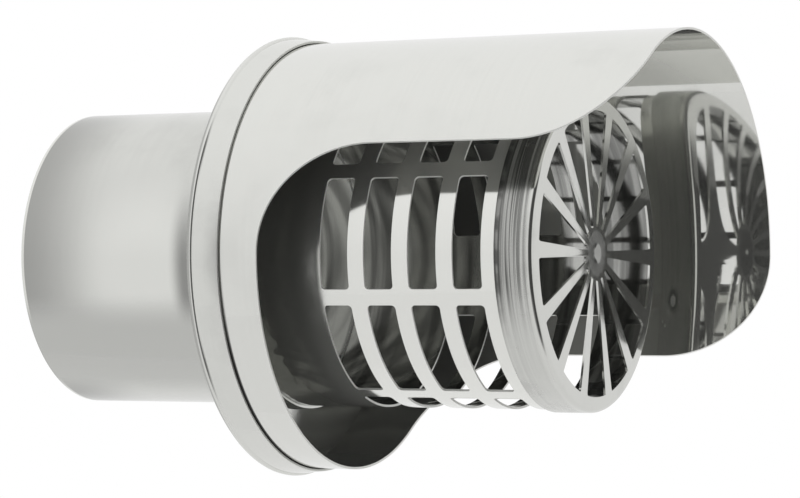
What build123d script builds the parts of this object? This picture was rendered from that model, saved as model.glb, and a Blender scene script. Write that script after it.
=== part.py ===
import os
from math import cos, pi, radians, sin, sqrt

from build123d import *

# Horizontal flue terminal in thin stainless sheet, in millimetres.
# The flue axis is X. X = 0 is the rim of the inlet spigot, the gases leave towards +X,
# and the hood covers the upper half, with its opening facing straight down.
# Angles about the flue axis run from +Y towards +Z.

# Sheet, folds and fits
sheet = 0.6
bend_radius = 0.8
bend_facet = 1.2
slip_fit = 0.1
edge_gap = 0.15

# Flue tube: a plain spigot, sized to its socket, that runs on past a shoulder as a slotted cage
spigot_diameter = 80.0
spigot_length = 61.5
shoulder_rise = 0.5
shoulder_gap = 1.0
first_slot = 28.7
slot_width = 8.0
slot_length = 29.5
slot_corner = 1.2
slot_columns = 4
rib_width = 4.45
bar_width = 4.2
last_rib = 3.85
seam_strip = 15.0
seam_angle = 21.0

# Base cap: a plate on the tube with a beaded, hemmed collar round the foot of the hood
collar_width = 8.8
hem_length = 4.0
hem_thickness = 1.2
hem_round = 0.5
bead_width = 1.8
bead_rise = 0.8
bead_round = 0.9
neck_length = 4.5

# Hood: a full ring at the base cap, then a half shell with large rounded corners
hood_diameter = 114.6
ring_width = 10.7
opening_length = 96.0
corner_radius = 28.0

# End grille: a drawn cap pressed over the end of the cage, with tapered spokes
band_width = 10.5
cap_edge_radius = 1.3
face_rim = 4.1
hub_diameter = 14.0
spoke_count = 14
spoke_angle = 2.1
spoke_rim_width = 4.2
spoke_hub_width = 1.7
window_corner = 1.2
dimple_diameter = 5.6
dimple_depth = 1.0
dimple_floor = 1.8
spot_diameter = 4.0
spot_depth = 0.25
spot_inset = 3.7

# Radii and stations that follow from the sizes above
spigot_radius = spigot_diameter / 2
tube_radius = spigot_radius + shoulder_rise
tube_round = 2 * pi * tube_radius
hood_radius = hood_diameter / 2
collar_radius = hood_radius + edge_gap + hem_thickness
plate_back = spigot_length + shoulder_gap
plate_front = plate_back + sheet
collar_end = plate_back + collar_width
opening_start = collar_end + ring_width
hood_end = opening_start + opening_length
slot_pitch = slot_width + rib_width
slots_start = plate_back + first_slot
slots_end = slots_start + slot_columns * slot_pitch - rib_width
band_start = slots_end + last_rib
face_front = band_start + band_width
tube_end = face_front - cap_edge_radius
row_pitch = slot_length + bar_width
slot_rows = int((tube_round - seam_strip + bar_width) // row_pitch)
row_step = 360 * row_pitch / tube_round
cap_inner_radius = tube_radius + slip_fit
cap_radius = cap_inner_radius + sheet


def turned(corners):
    # A ring or cap turned about the flue axis from a section of (station, radius) corners.
    # A corner may have a bend radius, which is turned as a few narrow flats.
    points = [corner[:2] for corner in corners]
    radii = [corner[2] if len(corner) == 3 else 0 for corner in corners]
    outline = FilletPolyline(*points, radius=radii, close=True)
    section = []
    for edge in outline.wire().order_edges():
        bend = edge.geom_type == GeomType.CIRCLE
        steps = max(1, round(edge.length / bend_facet)) if bend else 1
        section += [edge.position_at(step / steps) for step in range(steps)]
    return revolve(make_face(Polyline(*section, close=True)), Axis.X)


def radial_plane(station, angle):
    # A plane through the flue axis that faces outwards at the given angle
    outwards = (0, cos(radians(angle)), sin(radians(angle)))
    return Plane(origin=(station, 0, 0), x_dir=(1, 0, 0), z_dir=outwards)


def slot_cutters():
    # The rows stand evenly either side of the line opposite the tube's seam
    chord = 2 * tube_radius * sin(slot_length / (2 * tube_radius))
    slot = Rectangle(slot_width, chord)
    outline = chamfer(slot.vertices(), slot_corner)
    cutters = []
    for row in range(slot_rows):
        angle = seam_angle + 180 + (row - (slot_rows - 1) / 2) * row_step
        for column in range(slot_columns):
            station = slots_start + slot_width / 2 + column * slot_pitch
            plane = radial_plane(station, angle)
            cutters.append(extrude(plane * outline, amount=2 * tube_radius))
    return cutters


def inner_tube():
    wall = [
        (0, spigot_radius - sheet),
        (0, spigot_radius),
        (spigot_length, spigot_radius),
        (spigot_length, tube_radius),
        (tube_end, tube_radius),
        (tube_end, tube_radius - sheet),
        (spigot_length + sheet, tube_radius - sheet),
        (spigot_length + sheet, spigot_radius - sheet),
    ]
    return turned(wall) - slot_cutters()


def base_cap():
    neck_radius = tube_radius + slip_fit
    neck_end = plate_front + neck_length
    bead_end = plate_back + bead_width
    hem_start = collar_end - hem_length
    hem_inner = collar_radius - hem_thickness
    crest = collar_radius + bead_rise
    section = [
        (neck_end, neck_radius),
        (plate_back, neck_radius, bend_radius),
        (plate_back, crest, bead_round),
        (bead_end, crest),
        (bead_end, collar_radius),
        (collar_end, collar_radius, hem_round),
        (collar_end, hem_inner),
        (hem_start, hem_inner),
        (hem_start, collar_radius - sheet),
        (plate_front, collar_radius - sheet),
        (plate_front, neck_radius + sheet),
        (neck_end, neck_radius + sheet),
    ]
    return turned(section)


def hood():
    # The rolled sheet is a full tube, kept only inside its outline as seen from the side
    wall = [
        (plate_front, hood_radius - sheet),
        (plate_front, hood_radius),
        (hood_end, hood_radius),
        (hood_end, hood_radius - sheet),
    ]
    side_outline = FilletPolyline(
        (plate_front, -hood_diameter),
        (opening_start, -hood_diameter),
        (opening_start, 0),
        (hood_end, 0),
        (hood_end, hood_diameter),
        (plate_front, hood_diameter),
        radius=[0, 0, corner_radius, corner_radius, 0, 0],
        close=True,
    )
    kept = extrude(Plane.XZ * make_face(side_outline), amount=hood_diameter, both=True)
    return turned(wall) & kept


def spoke_corner(angle, radius, offset):
    # The point at a radius that stands a given way to one side of a spoke's centre line
    along = sqrt(radius**2 - offset**2)
    c, s = cos(radians(angle)), sin(radians(angle))
    return Vector(along * c - offset * s, along * s + offset * c)


def window_outline():
    # The gap between one spoke and the next, bounded by the face rim and the hub
    outer = cap_radius - face_rim
    inner = hub_diameter / 2
    step = 360 / spoke_count
    far_left = spoke_corner(0, outer, spoke_rim_width / 2)
    far_right = spoke_corner(step, outer, -spoke_rim_width / 2)
    near_left = spoke_corner(0, inner, spoke_hub_width / 2)
    near_right = spoke_corner(step, inner, -spoke_hub_width / 2)
    middle = spoke_corner(step / 2, 1, 0)
    edges = [
        ThreePointArc(far_left, middle * outer, far_right),
        Line(far_right, near_right),
        ThreePointArc(near_right, middle * inner, near_left),
        Line(near_left, far_left),
    ]
    face = make_face(edges)
    rim_corners = face.vertices().sort_by_distance((0, 0, 0))[2:]
    return chamfer(rim_corners, window_corner)


def window_cutters():
    face_plane = Plane.YZ.offset(face_front - cap_edge_radius)
    window = extrude(face_plane * window_outline(), amount=2 * cap_edge_radius)
    step = 360 / spoke_count
    return [Rot(X=spoke_angle + spoke * step) * window for spoke in range(spoke_count)]


def spot_weld_cutter():
    # A shallow round dent over the tube's seam, where the cap is spot welded to the tube
    ball_radius = (spot_diameter**2 / 4 + spot_depth**2) / (2 * spot_depth)
    plane = radial_plane(band_start + spot_inset, seam_angle)
    return plane * Pos(0, 0, cap_radius - spot_depth + ball_radius) * Sphere(ball_radius)


def end_grille():
    face_back = face_front - sheet
    section = [
        (band_start, cap_inner_radius),
        (band_start, cap_radius),
        (face_front, cap_radius, cap_edge_radius),
        (face_front, dimple_diameter / 2),
        (face_front - dimple_depth, dimple_floor / 2),
        (face_front - dimple_depth, 0),
        (face_back - dimple_depth, 0),
        (face_back - dimple_depth, dimple_floor / 2),
        (face_back, dimple_diameter / 2),
        (face_back, cap_inner_radius, cap_edge_radius - sheet),
    ]
    return turned(section) - window_cutters() - spot_weld_cutter()


pieces = {
    "inner_tube": inner_tube,
    "base_cap": base_cap,
    "hood": hood,
    "end_grille": end_grille,
}

os.makedirs("parts", exist_ok=True)
for name, make in pieces.items():
    solid = make()
    export_step(solid, f"parts/{name}.step")
    print(name, round(solid.volume), "mm3")
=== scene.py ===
import math
from types import SimpleNamespace

import bmesh
import bpy
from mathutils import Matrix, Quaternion, Vector


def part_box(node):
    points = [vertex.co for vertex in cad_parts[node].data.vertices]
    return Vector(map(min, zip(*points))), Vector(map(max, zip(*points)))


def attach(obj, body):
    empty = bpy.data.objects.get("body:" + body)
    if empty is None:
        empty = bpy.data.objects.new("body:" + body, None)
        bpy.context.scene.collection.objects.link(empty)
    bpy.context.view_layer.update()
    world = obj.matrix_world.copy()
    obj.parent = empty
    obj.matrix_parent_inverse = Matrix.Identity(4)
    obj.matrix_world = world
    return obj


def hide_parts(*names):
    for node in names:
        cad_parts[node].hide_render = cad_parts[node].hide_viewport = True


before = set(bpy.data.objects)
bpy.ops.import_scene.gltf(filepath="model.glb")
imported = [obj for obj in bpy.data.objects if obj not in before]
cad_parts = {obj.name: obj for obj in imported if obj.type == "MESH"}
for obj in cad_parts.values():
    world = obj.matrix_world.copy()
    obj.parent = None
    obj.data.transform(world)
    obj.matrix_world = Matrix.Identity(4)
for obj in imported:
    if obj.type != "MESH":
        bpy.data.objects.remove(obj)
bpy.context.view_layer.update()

# Sizes are in metres. The flue axis is X, and angles run from the near side, -Y, up towards +Z.
mm = 0.001
degree = math.pi / 180
fullTurn = 2 * math.pi
nearEnough = 0.01 * mm  # a vertex this close to a plane or a corner counts as on it
mergeDistance = 0.004 * mm
sheet = 0.6 * mm
tubeLow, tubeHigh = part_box("inner_tube")
capLow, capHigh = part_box("base_cap")
hoodLow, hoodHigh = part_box("hood")
grilleLow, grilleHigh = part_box("end_grille")


# Small tools for working by selection

def deselectAll():
    if bpy.context.mode != "OBJECT":
        bpy.ops.object.mode_set(mode="OBJECT")
    bpy.ops.object.select_all(action="DESELECT")


def makeActive(piece):
    deselectAll()
    piece.select_set(True)
    bpy.context.view_layer.objects.active = piece


def editPiece(piece, selectMode="VERT"):
    makeActive(piece)
    bpy.ops.object.mode_set(mode="EDIT")
    bpy.ops.mesh.select_mode(type=selectMode)
    bpy.ops.mesh.select_all(action="DESELECT")


def finishEdit():
    bpy.ops.object.mode_set(mode="OBJECT")


def selectWhere(kind, test):
    mesh = bpy.context.object.data
    work = bmesh.from_edit_mesh(mesh)
    for part in getattr(work, kind):
        part.select_set(bool(test(part)))
    work.select_flush_mode()
    bmesh.update_edit_mesh(mesh)


def cutAcross(point, normal):
    bpy.ops.mesh.select_all(action="SELECT")
    bpy.ops.mesh.bisect(plane_co=point, plane_no=normal)


def applyPlace():
    bpy.ops.object.transform_apply(location=True, rotation=True, scale=True)
    return bpy.context.object


def applyModifier(piece, kind, **settings):
    makeActive(piece)
    modifier = piece.modifiers.new(kind.lower(), kind)
    for key, value in settings.items():
        setattr(modifier, key, value)
    bpy.ops.object.modifier_apply(modifier=modifier.name)


def cutAway(piece, cutter):
    applyModifier(piece, "BOOLEAN", operation="DIFFERENCE", solver="EXACT", object=cutter)
    bpy.data.objects.remove(cutter)


def joinPieces(pieces):
    deselectAll()
    for piece in pieces:
        piece.select_set(True)
    bpy.context.view_layer.objects.active = pieces[0]
    bpy.ops.object.join()
    return pieces[0]


def addBlock(name, low, high):
    deselectAll()
    bpy.ops.mesh.primitive_cube_add(size=1, location=(low + high) / 2, scale=high - low)
    block = applyPlace()
    block.name = name
    return block


def closeAndFace():
    # doubles and loose edges go, and the faces are turned outwards
    bpy.ops.mesh.select_all(action="SELECT")
    bpy.ops.mesh.remove_doubles(threshold=mergeDistance)
    bpy.ops.mesh.delete_loose()
    bpy.ops.mesh.select_all(action="SELECT")
    bpy.ops.mesh.normals_make_consistent(inside=False)


def smoothPiece(piece, angle):
    makeActive(piece)
    bpy.ops.object.shade_smooth_by_angle(angle=angle * degree)


# A flat blank stands in the XZ plane, with its outside towards -Y, and Z is the length round the ring

def namedBlank(name, across, around):
    blank = bpy.context.object
    blank.name = name
    blank.scale = (across, around, 1)
    return applyPlace()


def openSeam(low, high):
    # the two end faces of the blank meet when it is rolled, so they come off first
    selectWhere("faces", lambda face: any(
        all(abs(vert.co.z - end) < nearEnough for vert in face.verts) for end in (low, high)))
    bpy.ops.mesh.delete(type="FACE")


def rollBlank(piece, radius):
    applyModifier(piece, "SIMPLE_DEFORM", deform_method="BEND", deform_axis="X", angle=fullTurn)
    editPiece(piece)
    bpy.ops.mesh.select_all(action="SELECT")
    bpy.ops.transform.translate(value=(0, -radius, 0))
    closeAndFace()
    finishEdit()


# A turned section is a closed outline of (station, radius, bend) corners, spun about the flue axis

def turnSection(name, corners, steps, bendSegments):
    deselectAll()
    bpy.ops.mesh.primitive_plane_add(size=mm)
    piece = bpy.context.object
    piece.name = name
    bpy.ops.object.mode_set(mode="EDIT")
    bpy.ops.mesh.select_mode(type="VERT")
    bpy.ops.mesh.select_all(action="SELECT")
    bpy.ops.mesh.merge(type="CENTER")
    points = [Vector((station, 0, radius)) for station, radius, bend in corners]
    bpy.ops.transform.translate(value=points[0])
    for here, there in zip(points, points[1:]):
        bpy.ops.mesh.extrude_region_move(TRANSFORM_OT_translate={"value": there - here})
    bpy.ops.mesh.select_all(action="SELECT")
    bpy.ops.mesh.edge_face_add()
    for point, (station, radius, bend) in zip(points, corners):
        if bend:
            selectWhere("verts", lambda vert: (vert.co - point).length < nearEnough)
            bpy.ops.mesh.bevel(offset=bend, segments=bendSegments, affect="VERTICES")
    bpy.ops.mesh.select_all(action="SELECT")
    bpy.ops.mesh.delete(type="ONLY_FACE")
    bpy.ops.mesh.select_all(action="SELECT")
    bpy.ops.mesh.spin(steps=steps, angle=fullTurn, center=(0, 0, 0), axis=(1, 0, 0))
    closeAndFace()
    finishEdit()
    return piece


# Flue tube: the sheet is slotted flat, rolled and welded along its seam

tubeSettings = {
    "strips": 480,
    "smoothAngle": 30,
    "shoulder": 61.5 * mm,
    "shoulderRamp": 0.25 * mm,
    "shoulderRise": 0.5 * mm,
    "seamAngle": 159.0,
    "slotColumns": 4,
    "slotRows": 7,
    "firstSlot": 91.2 * mm,
    "slotWidth": 8.0 * mm,
    "slotLength": 29.5 * mm,
    "slotCorner": 1.1 * mm,
    "cornerSegments": 6,
    "ribWidth": 4.45 * mm,
    "barWidth": 4.2 * mm,
}


def buildTube(settings):
    outer = tubeHigh.y
    around = fullTurn * outer
    middle = settings["seamAngle"] * degree * outer - around / 2
    deselectAll()
    bpy.ops.mesh.primitive_grid_add(
        x_subdivisions=2, y_subdivisions=settings["strips"], size=1,
        location=(tubeHigh.x / 2, 0, middle), rotation=(90 * degree, 0, 0))
    tube = namedBlank("flueTube", tubeHigh.x, around)
    applyModifier(tube, "SOLIDIFY", thickness=sheet, offset=-1)
    cutAway(tube, slotCutters(settings, middle))
    editPiece(tube, "FACE")
    openSeam(middle - around / 2, middle + around / 2)
    shapeShoulder(settings)
    finishEdit()
    rollBlank(tube, outer)
    smoothPiece(tube, settings["smoothAngle"])
    return tube


def slotCutters(settings, middle):
    reach = 2 * sheet
    half = Vector((settings["slotWidth"], 2 * reach, settings["slotLength"])) / 2
    first = addBlock("slotCutter", -half, half)
    editPiece(first, "EDGE")
    selectWhere("edges", lambda edge: abs(edge.verts[0].co.y - edge.verts[1].co.y) > reach)
    bpy.ops.mesh.bevel(offset=settings["slotCorner"], segments=settings["cornerSegments"], affect="EDGES")
    finishEdit()
    columnPitch = settings["slotWidth"] + settings["ribWidth"]
    rowPitch = settings["slotLength"] + settings["barWidth"]
    cutters = []
    for row in range(settings["slotRows"]):
        along = middle + (row - (settings["slotRows"] - 1) / 2) * rowPitch
        for column in range(settings["slotColumns"]):
            across = settings["firstSlot"] + half.x + column * columnPitch
            makeActive(first)
            bpy.ops.object.duplicate()
            bpy.ops.transform.translate(value=(across, 0, along))
            cutters.append(applyPlace())
    bpy.data.objects.remove(first)
    return joinPieces(cutters)


def shapeShoulder(settings):
    # the spigot's radius is half a millimetre less than the cage's, with a short ramp between them
    start = settings["shoulder"]
    end = start + settings["shoulderRamp"]
    for station in (start, end):
        cutAcross((station, 0, 0), (1, 0, 0))
    bpy.ops.mesh.select_mode(type="VERT")
    selectWhere("verts", lambda vert: vert.co.x < (start + end) / 2)
    bpy.ops.transform.translate(value=(0, settings["shoulderRise"], 0))


# Base cap: a drawn plate with a beaded, hemmed collar

capSettings = {
    "steps": 320,
    "bendSegments": 5,
    "smoothAngle": 40,
    "neckRadius": tubeHigh.y + 0.1 * mm,
    "neckLength": 4.5 * mm,
    "beadWidth": 1.8 * mm,
    "beadRise": 0.8 * mm,
    "beadStep": 0.55 * mm,
    "beadRamp": 0.33 * mm,
    "beadRound": 1.4 * mm,
    "hemLength": 4.0 * mm,
    "hemThickness": 1.2 * mm,
    "hemRound": 0.15 * mm,
    "hemEdge": 0.65 * mm,
    "bend": 0.8 * mm,
    "innerBend": 0.4 * mm,
}


def buildCap(settings):
    back = capLow.x
    front = back + sheet
    neck = settings["neckRadius"]
    neckEnd = front + settings["neckLength"]
    crest = capHigh.y
    collar = crest - settings["beadRise"]
    beadEnd = back + settings["beadWidth"]
    hemInner = collar - settings["hemThickness"]
    hemStart = capHigh.x - settings["hemLength"]
    corners = [
        (neckEnd, neck, 0),
        (back, neck, settings["bend"]),
        (back, crest, settings["beadRound"]),
        (beadEnd, crest, settings["beadRamp"]),
        (beadEnd + settings["beadRamp"], crest - settings["beadStep"], 0),
        (capHigh.x, hemInner + settings["hemEdge"], settings["hemRound"]),
        (capHigh.x, hemInner, settings["hemRound"]),
        (hemStart, hemInner, 0),
        (hemStart, collar - sheet, 0),
        (front, collar - sheet, settings["innerBend"]),
        (front, neck + sheet, settings["innerBend"]),
        (neckEnd, neck + sheet, 0),
    ]
    cap = turnSection("baseCap", corners, settings["steps"], settings["bendSegments"])
    smoothPiece(cap, settings["smoothAngle"])
    return cap


# Hood: a blank with two inner and two outer rounded corners, rolled into a ring and a half shell

hoodSettings = {
    "stripAngle": 0.75,
    "smoothAngle": 30,
    "ringEnd": 82.0 * mm,
    "corner": 28.6 * mm,
    "cornerSegments": 40,
}


def buildHood(settings):
    outer = hoodHigh.y
    quarter = fullTurn / 4 * outer
    ringEnd = settings["ringEnd"]
    deselectAll()
    bpy.ops.mesh.primitive_plane_add(
        size=1, location=((hoodLow.x + ringEnd) / 2, 0, quarter), rotation=(90 * degree, 0, 0))
    hood = namedBlank("hoodShell", ringEnd - hoodLow.x, 4 * quarter)
    editPiece(hood, "EDGE")
    trimHood(settings, quarter)
    strip = settings["stripAngle"] * degree * outer
    for count in range(1, round(360 / settings["stripAngle"])):
        cutAcross((0, 0, -quarter + count * strip), (0, 0, 1))
    finishEdit()
    applyModifier(hood, "SOLIDIFY", thickness=sheet, offset=-1)
    editPiece(hood, "FACE")
    openSeam(-quarter, 3 * quarter)
    finishEdit()
    rollBlank(hood, outer)
    smoothPiece(hood, settings["smoothAngle"])
    return hood


def trimHood(settings, quarter):
    # the upper half of the blank runs on past the ring, and its corners are rounded
    ringEnd = settings["ringEnd"]

    def isUpper(vert):
        return -nearEnough < vert.co.z < 2 * quarter + nearEnough

    for side in (0, 2 * quarter):
        cutAcross((0, 0, side), (0, 0, 1))
    selectWhere("edges", lambda edge: all(
        abs(vert.co.x - ringEnd) < nearEnough and isUpper(vert) for vert in edge.verts))
    bpy.ops.mesh.extrude_region_move(TRANSFORM_OT_translate={"value": (hoodHigh.x - ringEnd, 0, 0)})
    bpy.ops.mesh.select_mode(type="FACE")
    bpy.ops.mesh.select_all(action="SELECT")
    bpy.ops.mesh.dissolve_faces()
    bpy.ops.mesh.select_mode(type="VERT")
    selectWhere("verts", lambda vert: isUpper(vert) and vert.co.x > ringEnd - nearEnough)
    bpy.ops.mesh.bevel(offset=settings["corner"], segments=settings["cornerSegments"], affect="VERTICES")


# End grille: a drawn cap with tapered spokes punched in its face

grilleSettings = {
    "steps": 320,
    "bendSegments": 6,
    "smoothAngle": 30,
    "edgeRound": 1.3 * mm,
    "faceRim": 4.1 * mm,
    "hubRadius": 7.0 * mm,
    "spokes": 14,
    "spokeAngle": 2.1,
    "spokeRimWidth": 4.2 * mm,
    "spokeHubWidth": 1.7 * mm,
    "spokeStart": 4.2 * mm,
    "windowSteps": 313,
    "windowCorner": 1.3 * mm,
    "hubCorner": 0.45 * mm,
    "cornerSegments": 5,
    "cornerAngle": 40,
    "cornerReach": 0.4 * mm,
    "cutMargin": 0.3 * mm,
    "dimpleRadius": 2.4 * mm,
    "dimpleDepth": 0.8 * mm,
    "dimpleFloor": 0.8 * mm,
    "dimpleBend": 0.5 * mm,
    "floorBend": 0.4 * mm,
    "spotAngle": 159.0,
    "spotInset": 3.7 * mm,
    "spotRadius": 2.0 * mm,
    "spotDepth": 0.25 * mm,
    "spotSegments": 144,
}


def buildGrille(settings):
    radius = grilleHigh.y
    front = grilleHigh.x
    back = front - sheet
    inner = radius - sheet
    depth = settings["dimpleDepth"]
    corners = [
        (grilleLow.x, inner, 0),
        (grilleLow.x, radius, 0),
        (front, radius, settings["edgeRound"]),
        (front, settings["dimpleRadius"], settings["dimpleBend"]),
        (front - depth, settings["dimpleFloor"], settings["floorBend"]),
        (front - depth, 0, 0),
        (back - depth, 0, 0),
        (back - depth, settings["dimpleFloor"], settings["floorBend"]),
        (back, settings["dimpleRadius"], settings["dimpleBend"]),
        (back, inner, settings["edgeRound"] - sheet),
    ]
    grille = turnSection("endGrille", corners, settings["steps"], settings["bendSegments"])
    cutAway(grille, windowCutters(settings, radius, back, front))
    cutAway(grille, spotCutter(settings, radius))
    editPiece(grille)
    closeAndFace()
    finishEdit()
    smoothPiece(grille, settings["smoothAngle"])
    return grille


def spotPlace(settings, radius):
    turn = settings["spotAngle"] * degree
    return Vector((grilleLow.x + settings["spotInset"], -radius * math.cos(turn), radius * math.sin(turn)))


def spotCutter(settings, radius):
    # one shallow dent over the tube's seam, where the cap is spot welded to the tube
    depth = settings["spotDepth"]
    ball = (settings["spotRadius"] ** 2 + depth ** 2) / (2 * depth)
    deselectAll()
    bpy.ops.mesh.primitive_uv_sphere_add(
        segments=settings["spotSegments"], ring_count=settings["spotSegments"] // 2, radius=ball,
        location=spotPlace(settings, radius - depth + ball))
    return applyPlace()


def windowCutters(settings, radius, back, front):
    # a ring that is parted by the spokes, with its steps off those of the grille
    hub = settings["hubRadius"]
    outer = radius - settings["faceRim"]
    margin = settings["cutMargin"]
    reach = settings["cornerReach"]
    ring = [
        (back - margin, hub, 0),
        (front + margin, hub, 0),
        (front + margin, outer, 0),
        (back - margin, outer, 0),
    ]
    cutter = turnSection("windowCutter", ring, settings["windowSteps"], 1)
    spokes = [spokeBar(settings, outer, back - 2 * margin, front + 2 * margin, number)
              for number in range(settings["spokes"])]
    cutAway(cutter, joinPieces(spokes))
    editPiece(cutter, "EDGE")
    for low, high, corner in ((outer - reach, outer + mm, settings["windowCorner"]),
                              (0, hub + reach, settings["hubCorner"])):
        selectWhere("edges", lambda edge: isWindowCorner(edge, low, high, settings))
        bpy.ops.mesh.bevel(offset=corner, segments=settings["cornerSegments"], affect="EDGES")
    finishEdit()
    return cutter


def isWindowCorner(edge, low, high, settings):
    first, second = (vert.co for vert in edge.verts)
    if abs(first.x - second.x) < settings["cutMargin"] or len(edge.link_faces) != 2:
        return False
    sharp = edge.calc_face_angle() > settings["cornerAngle"] * degree
    return sharp and low < math.hypot(first.y, first.z) < high


def spokeBar(settings, outer, low, high, number):
    # a bar one unit wide, whose two ends are then brought to the spoke's width there
    start = settings["spokeStart"]
    end = outer + mm
    bar = addBlock("spoke", Vector((low, start, -0.5)), Vector((high, end, 0.5)))
    slope = (settings["spokeRimWidth"] - settings["spokeHubWidth"]) / (outer - settings["hubRadius"])
    editPiece(bar)
    for place in (start, end):
        width = settings["spokeHubWidth"] + slope * (place - settings["hubRadius"])
        selectWhere("verts", lambda vert: abs(vert.co.y - place) < nearEnough)
        bpy.ops.transform.resize(value=(1, 1, width), center_override=(0, 0, 0))
    bpy.ops.mesh.select_all(action="SELECT")
    turn = settings["spokeAngle"] * degree + number * fullTurn / settings["spokes"]
    bpy.ops.transform.rotate(value=-turn, orient_axis="X", center_override=(0, 0, 0))
    finishEdit()
    return bar


tube = buildTube(tubeSettings)
print("flue tube", len(tube.data.polygons), "faces")
cap = buildCap(capSettings)
print("base cap", len(cap.data.polygons), "faces")
hood = buildHood(hoodSettings)
print("hood", len(hood.data.polygons), "faces")
grille = buildGrille(grilleSettings)
print("end grille", len(grille.data.polygons), "faces")


# Materials

class Wire:
    def __init__(self, tree, socket):
        self.tree = tree
        self.socket = socket

    def maths(self, operation, first, second):
        return self.add("ShaderNodeMath", {"operation": operation}, {0: first, 1: second})

    def __add__(self, other):
        return self.maths("ADD", self, other)

    def __radd__(self, other):
        return self.maths("ADD", other, self)

    def __sub__(self, other):
        return self.maths("SUBTRACT", self, other)

    def __rsub__(self, other):
        return self.maths("SUBTRACT", other, self)

    def __mul__(self, other):
        return self.maths("MULTIPLY", self, other)

    def __rmul__(self, other):
        return self.maths("MULTIPLY", other, self)

    def add(self, kind, settings, inputs):
        return addNode(self.tree, kind, settings, inputs)

    def out(self, name):
        return Wire(self.tree, self.socket.node.outputs[name])


def addNode(tree, kind, settings, inputs):
    node = tree.nodes.new(kind)
    for key, value in settings.items():
        setattr(node, key, value)
    for key, value in inputs.items():
        if isinstance(value, Wire):
            tree.links.new(value.socket, node.inputs[key])
        else:
            node.inputs[key].default_value = value
    return Wire(tree, node.outputs[0]) if len(node.outputs) else node


def startMaterial(name):
    material = bpy.data.materials.new(name)
    material.use_nodes = True
    material.node_tree.nodes.clear()
    return material, material.node_tree


def stretched(place, scale):
    return place.add("ShaderNodeMapping", {"vector_type": "POINT"}, {"Vector": place, "Scale": scale})


def noise(vector, scale, detail, roughness=0.5):
    return vector.add("ShaderNodeTexNoise", {}, {
        "Vector": vector, "Scale": scale, "Detail": detail, "Roughness": roughness})


def rising(value, low, high):
    return value.add("ShaderNodeMapRange", {"interpolation_type": "SMOOTHSTEP"},
                     {"Value": value, "From Min": low, "From Max": high})


def fading(value, low, high):
    return 1 - rising(value, low, high)


def mixed(share, first, second):
    mix = share.add("ShaderNodeMix", {"data_type": "RGBA"}, {"Factor": share, 6: first, 7: second})
    return Wire(share.tree, mix.socket.node.outputs[2])


def measured(operation, vector, other):
    return vector.add("ShaderNodeVectorMath", {"operation": operation}, {0: vector, 1: other}).out("Value")


# Rolled sheet: grain runs round the ring, with soft smudges and a little waviness

sheetSettings = {
    "grainDetail": 4, "grainTint": 0.25,
    "smudgeDetail": 5, "smudgeRoughness": 0.6, "stainSpan": (0.5, 0.75),
    "waveDetail": 1,
    "metallic": 0.88,
}


def rolledSteel(name, settings):
    material, tree = startMaterial(name)
    place = addNode(tree, "ShaderNodeTexCoord", {}, {}).out("Object")
    axes = addNode(tree, "ShaderNodeSeparateXYZ", {}, {"Vector": place})
    grain = noise(stretched(place, settings["grainScale"]), 1.0, sheetSettings["grainDetail"])
    smudge = noise(place, settings["smudgeScale"], sheetSettings["smudgeDetail"],
                   sheetSettings["smudgeRoughness"])
    wave = noise(stretched(place, settings["waveScale"]), 1.0, sheetSettings["waveDetail"])
    stain = rising(smudge, *sheetSettings["stainSpan"])
    dulled = stain * settings["stain"] + grain * sheetSettings["grainTint"]
    colour = mixed(dulled, settings["bright"], settings["dull"])
    roughness = settings["roughness"] + stain * settings["stainRoughness"]
    roughness = roughness + (grain - 0.5) * settings["grainRoughness"]
    height = wave * settings["waveHeight"] + grain * settings["grainHeight"]
    return SimpleNamespace(material=material, place=place, axes=axes, colour=colour, roughness=roughness,
                           height=height, metallic=sheetSettings["metallic"])


def tint(steel, share, colour):
    steel.colour = mixed(share, steel.colour, colour)


def finishSteel(steel):
    # heights are in metres; a little of the light is scattered, as it is by a handled sheet
    tree = steel.material.node_tree
    normal = addNode(tree, "ShaderNodeBump", {}, {"Height": steel.height, "Strength": 1.0, "Distance": 1.0})
    shader = addNode(tree, "ShaderNodeBsdfPrincipled", {}, {
        "Base Color": steel.colour, "Metallic": steel.metallic, "Roughness": steel.roughness,
        "Normal": normal})
    addNode(tree, "ShaderNodeOutputMaterial", {}, {"Surface": shader})
    return steel.material


# Stations, heights and distances over which a mark grows or fades are pairs, and a share is its strength

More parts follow.
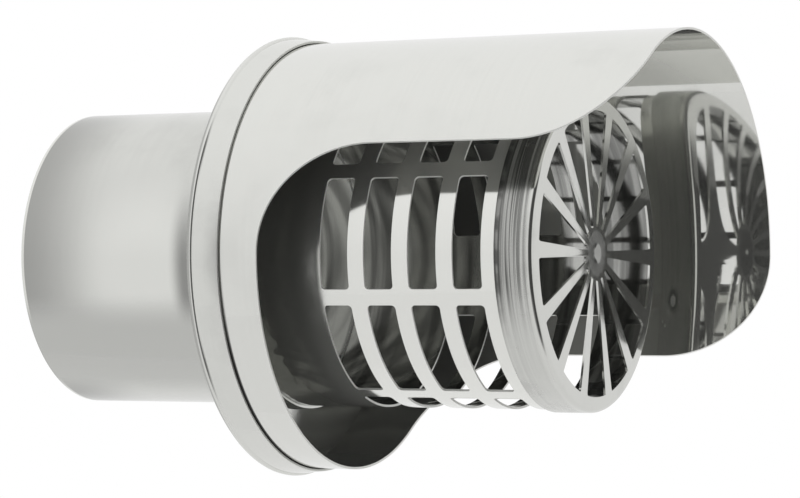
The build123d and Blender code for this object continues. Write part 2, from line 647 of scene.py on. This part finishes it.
tubeSteelSettings = {
    "bright": (0.68, 0.683, 0.656, 1), "dull": (0.54, 0.543, 0.521, 1),
    "grainScale": (900, 10, 10), "smudgeScale": 26, "waveScale": (22, 30, 30),
    "stain": 0.4, "roughness": 0.10, "stainRoughness": 0.06, "grainRoughness": 0.02,
    "waveHeight": 0.01 * mm, "grainHeight": 0.0002 * mm,
    "sheenPlace": (38 * mm, -33.5 * mm, -21.8 * mm), "sheenSpan": (8 * mm, 28 * mm),
    "sheen": (0.79, 0.794, 0.762, 1), "sheenShare": 0.9,
    "rimSpan": (0, 26 * mm), "rimShade": (0.34, 0.342, 0.328, 1), "rimShare": 0.85,
    "edgeSpan": (0.63 * mm, 0.9 * mm),
    "spigotSpan": (61.5 * mm, 62.5 * mm), "underSpan": (-22 * mm, 4 * mm),
    "cornerSpan": (45.5 * mm, 50.5 * mm), "cornerShade": (0.22, 0.221, 0.212, 1), "cornerShare": 0.85,
    "undersideShadeSpan": (-34 * mm, -27 * mm), "undersideShadeSide": (-6 * mm, 6 * mm),
    "undersideShade": (0.55, 0.553, 0.531, 1),
    "cageSpan": (84 * mm, 90 * mm), "cageLight": (0.82, 0.824, 0.791, 1),
    "footStart": (64 * mm, 66 * mm), "footEnd": (82 * mm, 90 * mm),
    "rippleScale": 85, "rippleDetail": 2, "rippleHeight": 0.7 * mm,
    "seamSpan": (0.66 * mm, 1.1 * mm), "seamTint": (0.52, 0.50, 0.47, 1), "seamShare": 0.6,
    "seamRoughness": 0.15, "seamHeight": 0.07 * mm,
}


def tubeSteel(settings):
    steel = rolledSteel("tubeSteel", settings)
    y, z = steel.axes.out("Y"), steel.axes.out("Z")
    # painted sheen brightens the middle of the spigot, and painted shade darkens it towards its rim and
    # beside the collar
    sheen = fading(measured("DISTANCE", steel.place, settings["sheenPlace"]), *settings["sheenSpan"])
    tint(steel, sheen * settings["sheenShare"], settings["sheen"])
    rim = fading(steel.axes, *settings["rimSpan"])
    tint(steel, rim * settings["rimShare"], settings["rimShade"])
    # a painted highlight runs along the edge of the spigot's rim
    tint(steel, fading(steel.axes, *settings["edgeSpan"]), settings["sheen"])
    spigot = fading(steel.axes, *settings["spigotSpan"])
    under = fading(z, *settings["underSpan"])
    # painted shade beside the collar, on the lower side of the spigot
    corner = rising(steel.axes, *settings["cornerSpan"]) * spigot * under
    tint(steel, corner * settings["cornerShare"], settings["cornerShade"])
    # painted shade lies along the near side of the spigot, underneath, and painted light brightens the cage
    undersideShade = fading(z, *settings["undersideShadeSpan"]) * spigot * fading(y, *settings["undersideShadeSide"])
    tint(steel, undersideShade, settings["undersideShade"])
    tint(steel, rising(steel.axes, *settings["cageSpan"]), settings["cageLight"])
    # the plain foot of the cage is rippled underneath
    foot = rising(steel.axes, *settings["footStart"]) * fading(steel.axes, *settings["footEnd"])
    ripple = noise(steel.place, settings["rippleScale"], settings["rippleDetail"]) * foot * under
    steel.height = steel.height + ripple * settings["rippleHeight"]
    seam = fading(seamDistance(y, z, tubeSettings["seamAngle"]), *settings["seamSpan"])
    tint(steel, seam * settings["seamShare"], settings["seamTint"])
    steel.roughness = steel.roughness + seam * settings["seamRoughness"]
    steel.height = steel.height + seam * settings["seamHeight"]
    return finishSteel(steel)


def seamDistance(y, z, angle):
    # how far round the ring a point stands from the welded seam
    turn = angle * degree
    side = y * math.sin(turn) + z * math.cos(turn)
    front = z * math.sin(turn) - y * math.cos(turn)
    return side.maths("ABSOLUTE", side, 0) + fading(front, -mm, 0)


tubeLiningSettings = {
    "bright": (0.54, 0.543, 0.521, 1), "dull": (0.38, 0.382, 0.367, 1),
    "grainScale": (900, 10, 10), "smudgeScale": 30, "waveScale": (110, 30, 30),
    "stain": 0.6, "roughness": 0.06, "stainRoughness": 0.08, "grainRoughness": 0.02,
    "waveHeight": 0.025 * mm, "grainHeight": 0.0002 * mm,
    "streakScale": (260, 7, 7), "streakDetail": 3, "streakSpan": (0.42, 0.64),
    "streak": (0.15, 0.151, 0.145, 1), "streakShare": 0.85,
}


def tubeLining(settings):
    # the flue gases leave dark streaks round the bore
    steel = rolledSteel("tubeLining", settings)
    streak = noise(stretched(steel.place, settings["streakScale"]), 1.0, settings["streakDetail"])
    streak = rising(streak, *settings["streakSpan"])
    tint(steel, streak * settings["streakShare"], settings["streak"])
    return finishSteel(steel)


capSteelSettings = {
    "bright": (0.74, 0.744, 0.714, 1), "dull": (0.62, 0.623, 0.598, 1),
    "grainScale": (2600, 10, 10), "smudgeScale": 45, "waveScale": (60, 26, 26),
    "stain": 0.4, "roughness": 0.10, "stainRoughness": 0.08, "grainRoughness": 0.06,
    "waveHeight": 0.008 * mm, "grainHeight": 0.0006 * mm,
    "edgeSpan": (capHigh.x - 0.15 * mm, capHigh.x - 0.05 * mm), "edgeRoughness": 0.5,
}


def capSteel(settings):
    # the hem's edge is duller than the sheet
    steel = rolledSteel("capSteel", settings)
    edge = rising(steel.axes, *settings["edgeSpan"])
    steel.roughness = steel.roughness + edge * settings["edgeRoughness"]
    return finishSteel(steel)


hoodSteelSettings = {
    "bright": (0.77, 0.774, 0.743, 1), "dull": (0.66, 0.663, 0.637, 1),
    "grainScale": (1500, 12, 12), "smudgeScale": 30, "waveScale": (16, 24, 24),
    "stain": 0.35, "roughness": 0.035, "stainRoughness": 0.04, "grainRoughness": 0.015,
    "waveHeight": 0.006 * mm, "grainHeight": 0.0002 * mm,
    "underSpan": (-50 * mm, -18 * mm),
    "jointSpan": (capHigh.x + 0.54 * mm, capHigh.x + 0.9 * mm), "jointShadow": (0.10, 0.1, 0.097, 1),
    "footShadeSpan": (90 * mm, 118 * mm), "footShade": (0.29, 0.291, 0.28, 1), "footShadeShare": 0.9,
    "sootRoughness": 0.06,
    "filmSpan": (125 * mm, 150 * mm), "film": 0.3,
}


def hoodSteel(settings):
    # painted shadow along the joint to the collar, thickest underneath
    steel = rolledSteel("hoodSteel", settings)
    under = fading(steel.axes.out("Z"), *settings["underSpan"])
    joint = fading(steel.axes, *settings["jointSpan"])
    tint(steel, joint * under * under, settings["jointShadow"])
    return finishSteel(steel)


def hoodLining(settings):
    # the inside is as bright as the outside, with painted shade round its foot
    steel = rolledSteel("hoodLining", settings)
    foot = fading(steel.axes, *settings["footShadeSpan"])
    tint(steel, foot * settings["footShadeShare"], settings["footShade"])
    steel.roughness = steel.roughness + foot * settings["sootRoughness"]
    # a thin film of soot reaches farther along the cage
    steel.metallic = steel.metallic - fading(steel.axes, *settings["filmSpan"]) * settings["film"]
    return finishSteel(steel)


grilleSteelSettings = {
    "bright": (0.68, 0.683, 0.656, 1), "dull": (0.52, 0.523, 0.502, 1),
    "grainScale": (1200, 16, 16), "smudgeScale": 60, "waveScale": (40, 30, 30),
    "stain": 0.4, "roughness": 0.09, "stainRoughness": 0.08, "grainRoughness": 0.04,
    "waveHeight": 0.008 * mm, "grainHeight": 0.0004 * mm,
    "faceMetallic": 0.99,
    "bandSpan": (grilleHigh.x - 2.2 * mm, grilleHigh.x - 1.2 * mm), "bandRoughness": 0.16,
    "drawScale": (760, 6, 6), "drawDetail": 3, "drawRoughness": 0.6, "drawSpan": (0.42, 0.60),
    "drawDark": (0.13, 0.131, 0.125, 1), "drawShare": 0.85, "drawFaint": 0.12, "drawHeight": 0.02 * mm,
    "wornSpan": (-37 * mm, -24 * mm), "wornSide": (-12 * mm, 12 * mm),
    "innerSpan": (grilleLow.x + 1.5 * mm, grilleLow.x + 7.5 * mm), "innerShare": 0.45,
    "lipSpan": (grilleLow.x + 0.8 * mm, grilleLow.x + 2.4 * mm), "lipShare": 0.9,
    "lipScale": 190, "lipDetail": 3, "lipPatch": (0.35, 0.55), "lipDark": (0.08, 0.08, 0.077, 1),
    "hubSpan": (5.2 * mm, 6.2 * mm), "hubDark": (0.26, 0.261, 0.251, 1), "hubShare": 0.8,
    "hubRoughness": 0.12,
    "burntShadeSpan": (0.8 * mm, 2.0 * mm), "burntShadeShare": 0.8,
    "mattHighlightSpan": (0.6 * mm, 1.0 * mm), "mattLoss": 0.6,
}


def grilleSteel(settings):
    steel = rolledSteel("grilleSteel", settings)
    band = fading(steel.axes, *settings["bandSpan"])
    # drawing marks run round the band, and are strongest on its near side
    draw = noise(stretched(steel.place, settings["drawScale"]), 1.0,
                 settings["drawDetail"], settings["drawRoughness"])
    worn = rising(steel.axes.out("Z"), *settings["wornSpan"])
    worn = worn * fading(steel.axes.out("Y"), *settings["wornSide"])
    inner = fading(steel.axes, *settings["innerSpan"])
    scored = rising(draw, *settings["drawSpan"]) + inner * worn * settings["innerShare"]
    scored = scored * band * (settings["drawFaint"] + worn * (1 - settings["drawFaint"]))
    tint(steel, scored * settings["drawShare"], settings["drawDark"])
    # the cut lip of the band is darker in patches on its near side
    patch = rising(noise(steel.place, settings["lipScale"], settings["lipDetail"]), *settings["lipPatch"])
    lip = fading(steel.axes, *settings["lipSpan"]) * worn * (0.5 + patch * 0.5)
    tint(steel, lip * settings["lipShare"], settings["lipDark"])
    hub = fading(measured("DISTANCE", stretched(steel.place, (0, 1, 1)), (0, 0, 0)), *settings["hubSpan"])
    tint(steel, hub * settings["hubShare"], settings["hubDark"])
    # the spot weld has a heat-tinted ring round a matt middle; painted shade darkens the ring and a painted
    # highlight lightens the middle
    fromSpot = measured("DISTANCE", steel.place, spotPlace(grilleSettings, grilleHigh.y))
    burntShade = fading(fromSpot, *settings["burntShadeSpan"])
    mattHighlight = fading(fromSpot, *settings["mattHighlightSpan"])
    tint(steel, burntShade * settings["burntShadeShare"], settings["lipDark"])
    tint(steel, mattHighlight, settings["bright"])
    steel.roughness = steel.roughness + band * settings["bandRoughness"] + hub * settings["hubRoughness"]
    steel.height = steel.height + draw * band * settings["drawHeight"]
    # the face is cleaner than the band
    gain = settings["faceMetallic"] - steel.metallic
    steel.metallic = settings["faceMetallic"] - band * gain - mattHighlight * settings["mattLoss"]
    return finishSteel(steel)


# The cut edges of the sheet are matt, and scatter the light

cutEdgeSettings = {"colour": (0.80, 0.804, 0.772, 1), "metallic": 0.4, "roughness": 0.45}


def cutEdge(settings):
    material, tree = startMaterial("cutEdge")
    shader = addNode(tree, "ShaderNodeBsdfPrincipled", {}, {
        "Base Color": settings["colour"], "Metallic": settings["metallic"],
        "Roughness": settings["roughness"]})
    addNode(tree, "ShaderNodeOutputMaterial", {}, {"Surface": shader})
    return material


facing = 0.5  # a face turned in or out by more than this isn't a cut edge


def turnedOut(face):
    outwards = face.calc_center_median() * Vector((0, 1, 1))
    return face.normal.dot(outwards.normalized())


def isInside(face):
    return turnedOut(face) < -facing


def isCutEdge(face):
    return abs(turnedOut(face)) <= facing


def coverFaces(piece, material, test):
    piece.data.materials.append(material)
    editPiece(piece, "FACE")
    selectWhere("faces", test)
    piece.active_material_index = len(piece.data.materials) - 1
    bpy.ops.object.material_slot_assign()
    finishEdit()


for piece, node, slot, material in (
    (tube, "inner_tube", "tube_steel", tubeSteel(tubeSteelSettings)),
    (cap, "base_cap", "cap_steel", capSteel(capSteelSettings)),
    (hood, "hood", "hood_steel", hoodSteel(hoodSteelSettings)),
    (grille, "end_grille", "grille_steel", grilleSteel(grilleSteelSettings)),
):
    piece.data.materials.clear()
    piece.data.materials.append(material)
    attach(piece, "root")
    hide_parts(node)
coverFaces(tube, tubeLining(tubeLiningSettings), isInside)
coverFaces(hood, hoodLining(hoodSteelSettings), isInside)
edgeMaterial = cutEdge(cutEdgeSettings)
coverFaces(tube, edgeMaterial, isCutEdge)
coverFaces(hood, edgeMaterial, isCutEdge)
print("steel finishes made")


# Studio: white all round, dark on the side of the lens and dimmer behind the spigot

studioSettings = {
    "roll": 30.6,
    "shade": 0.88, "lift": 0.16,
    "lens": (0.75, -0.66, 0), "lensSpan": (0.45, 0.70), "lensDark": 0.92,
    "outletSpan": (0.87, 0.95),
    "behindSpan": (0.6, 0.85), "behindDark": 0.45,
    "floorHeight": -0.9, "floorRadius": 0.7, "floorCorners": 96,
    "floorColour": (0.86, 0.86, 0.86, 1), "floorRoughness": 0.9, "floorGlow": 0.8,
}


def towards(direction, x, y, z):
    # directions are noted with the flue axis level and the hood rolled back, as it is pictured
    roll = Quaternion((1, 0, 0), studioSettings["roll"] * degree)
    return measured("DOT_PRODUCT", direction, (roll @ Vector((x, y, z))).normalized())


def studioColour(direction, rays, settings):
    height = towards(direction, 0, 0, 1)
    lens = rising(towards(direction, *settings["lens"]), *settings["lensSpan"])
    lens = lens * fading(towards(direction, 1, 0, 0), *settings["outletSpan"])
    behind = rising(towards(direction, -1, 0, 0), *settings["behindSpan"])
    shade = settings["shade"] + height.maths("MAXIMUM", height, 0) * settings["lift"]
    shade = shade * (1 - lens * settings["lensDark"]) * (1 - behind * settings["behindDark"])
    shade = shade + rays * (1 - shade)
    return direction.add("ShaderNodeCombineColor", {}, {0: shade, 1: shade, 2: shade})


def lightWorld(settings):
    world = bpy.data.worlds.new("studio")
    bpy.context.scene.world = world
    world.use_nodes = True
    tree = world.node_tree
    tree.nodes.clear()
    direction = addNode(tree, "ShaderNodeTexCoord", {}, {}).out("Generated")
    colour = studioColour(direction, addNode(tree, "ShaderNodeLightPath", {}, {}), settings)
    background = addNode(tree, "ShaderNodeBackground", {}, {"Color": colour, "Strength": 1.0})
    addNode(tree, "ShaderNodeOutputWorld", {}, {"Surface": background})


def layFloor(settings):
    # pale and plain, with its shadow kept, and in a mirror as bright as the studio behind it
    deselectAll()
    bpy.ops.mesh.primitive_circle_add(
        vertices=settings["floorCorners"], radius=settings["floorRadius"], fill_type="NGON",
        location=(0, 0, settings["floorHeight"]))
    floor = bpy.context.object
    floor.name = "studioFloor"
    material, tree = startMaterial("studioFloor")
    paint = addNode(tree, "ShaderNodeBsdfPrincipled", {}, {
        "Base Color": settings["floorColour"], "Roughness": settings["floorRoughness"]})
    rays = addNode(tree, "ShaderNodeLightPath", {}, {})
    back = addNode(tree, "ShaderNodeNewGeometry", {}, {}).out("Incoming")
    direction = back.add("ShaderNodeVectorMath", {"operation": "SCALE"}, {0: back, "Scale": -1})
    colour = studioColour(direction, rays, settings)
    glow = addNode(tree, "ShaderNodeEmission", {}, {"Color": colour, "Strength": 1.0})
    seen = rays + (rays.out("Is Glossy Ray") + rays.out("Is Transmission Ray"))
    mix = addNode(tree, "ShaderNodeMixShader", {}, {0: seen * settings["floorGlow"], 1: paint, 2: glow})
    addNode(tree, "ShaderNodeOutputMaterial", {}, {"Surface": mix})
    floor.data.materials.append(material)


lightWorld(studioSettings)
layFloor(studioSettings)
print("studio lit")

cameraSettings = {
    "aim": Vector((0.0952, -0.0029, 0.0003)),
    "azimuth": 29.89,
    "elevation": -26.37,
    "roll": 13.73,
    "distance": 0.7817,
    "lens": 132.1,
    "clipEnd": 20,
}


def placeCamera(settings):
    turn = settings["azimuth"] * degree
    rise = settings["elevation"] * degree
    back = Vector((math.sin(turn) * math.cos(rise), -math.cos(turn) * math.cos(rise), math.sin(rise)))
    roll = Quaternion((0, 0, 1), settings["roll"] * degree)
    bpy.ops.object.camera_add(location=settings["aim"] + back * settings["distance"])
    camera = bpy.context.object
    camera.rotation_mode = "QUATERNION"
    camera.rotation_quaternion = (-back).to_track_quat("-Z", "Y") @ roll
    camera.data.lens = settings["lens"]
    camera.data.clip_end = settings["clipEnd"]
    bpy.context.scene.camera = camera


deselectAll()
placeCamera(cameraSettings)
bpy.context.scene.view_settings.view_transform = "Standard"
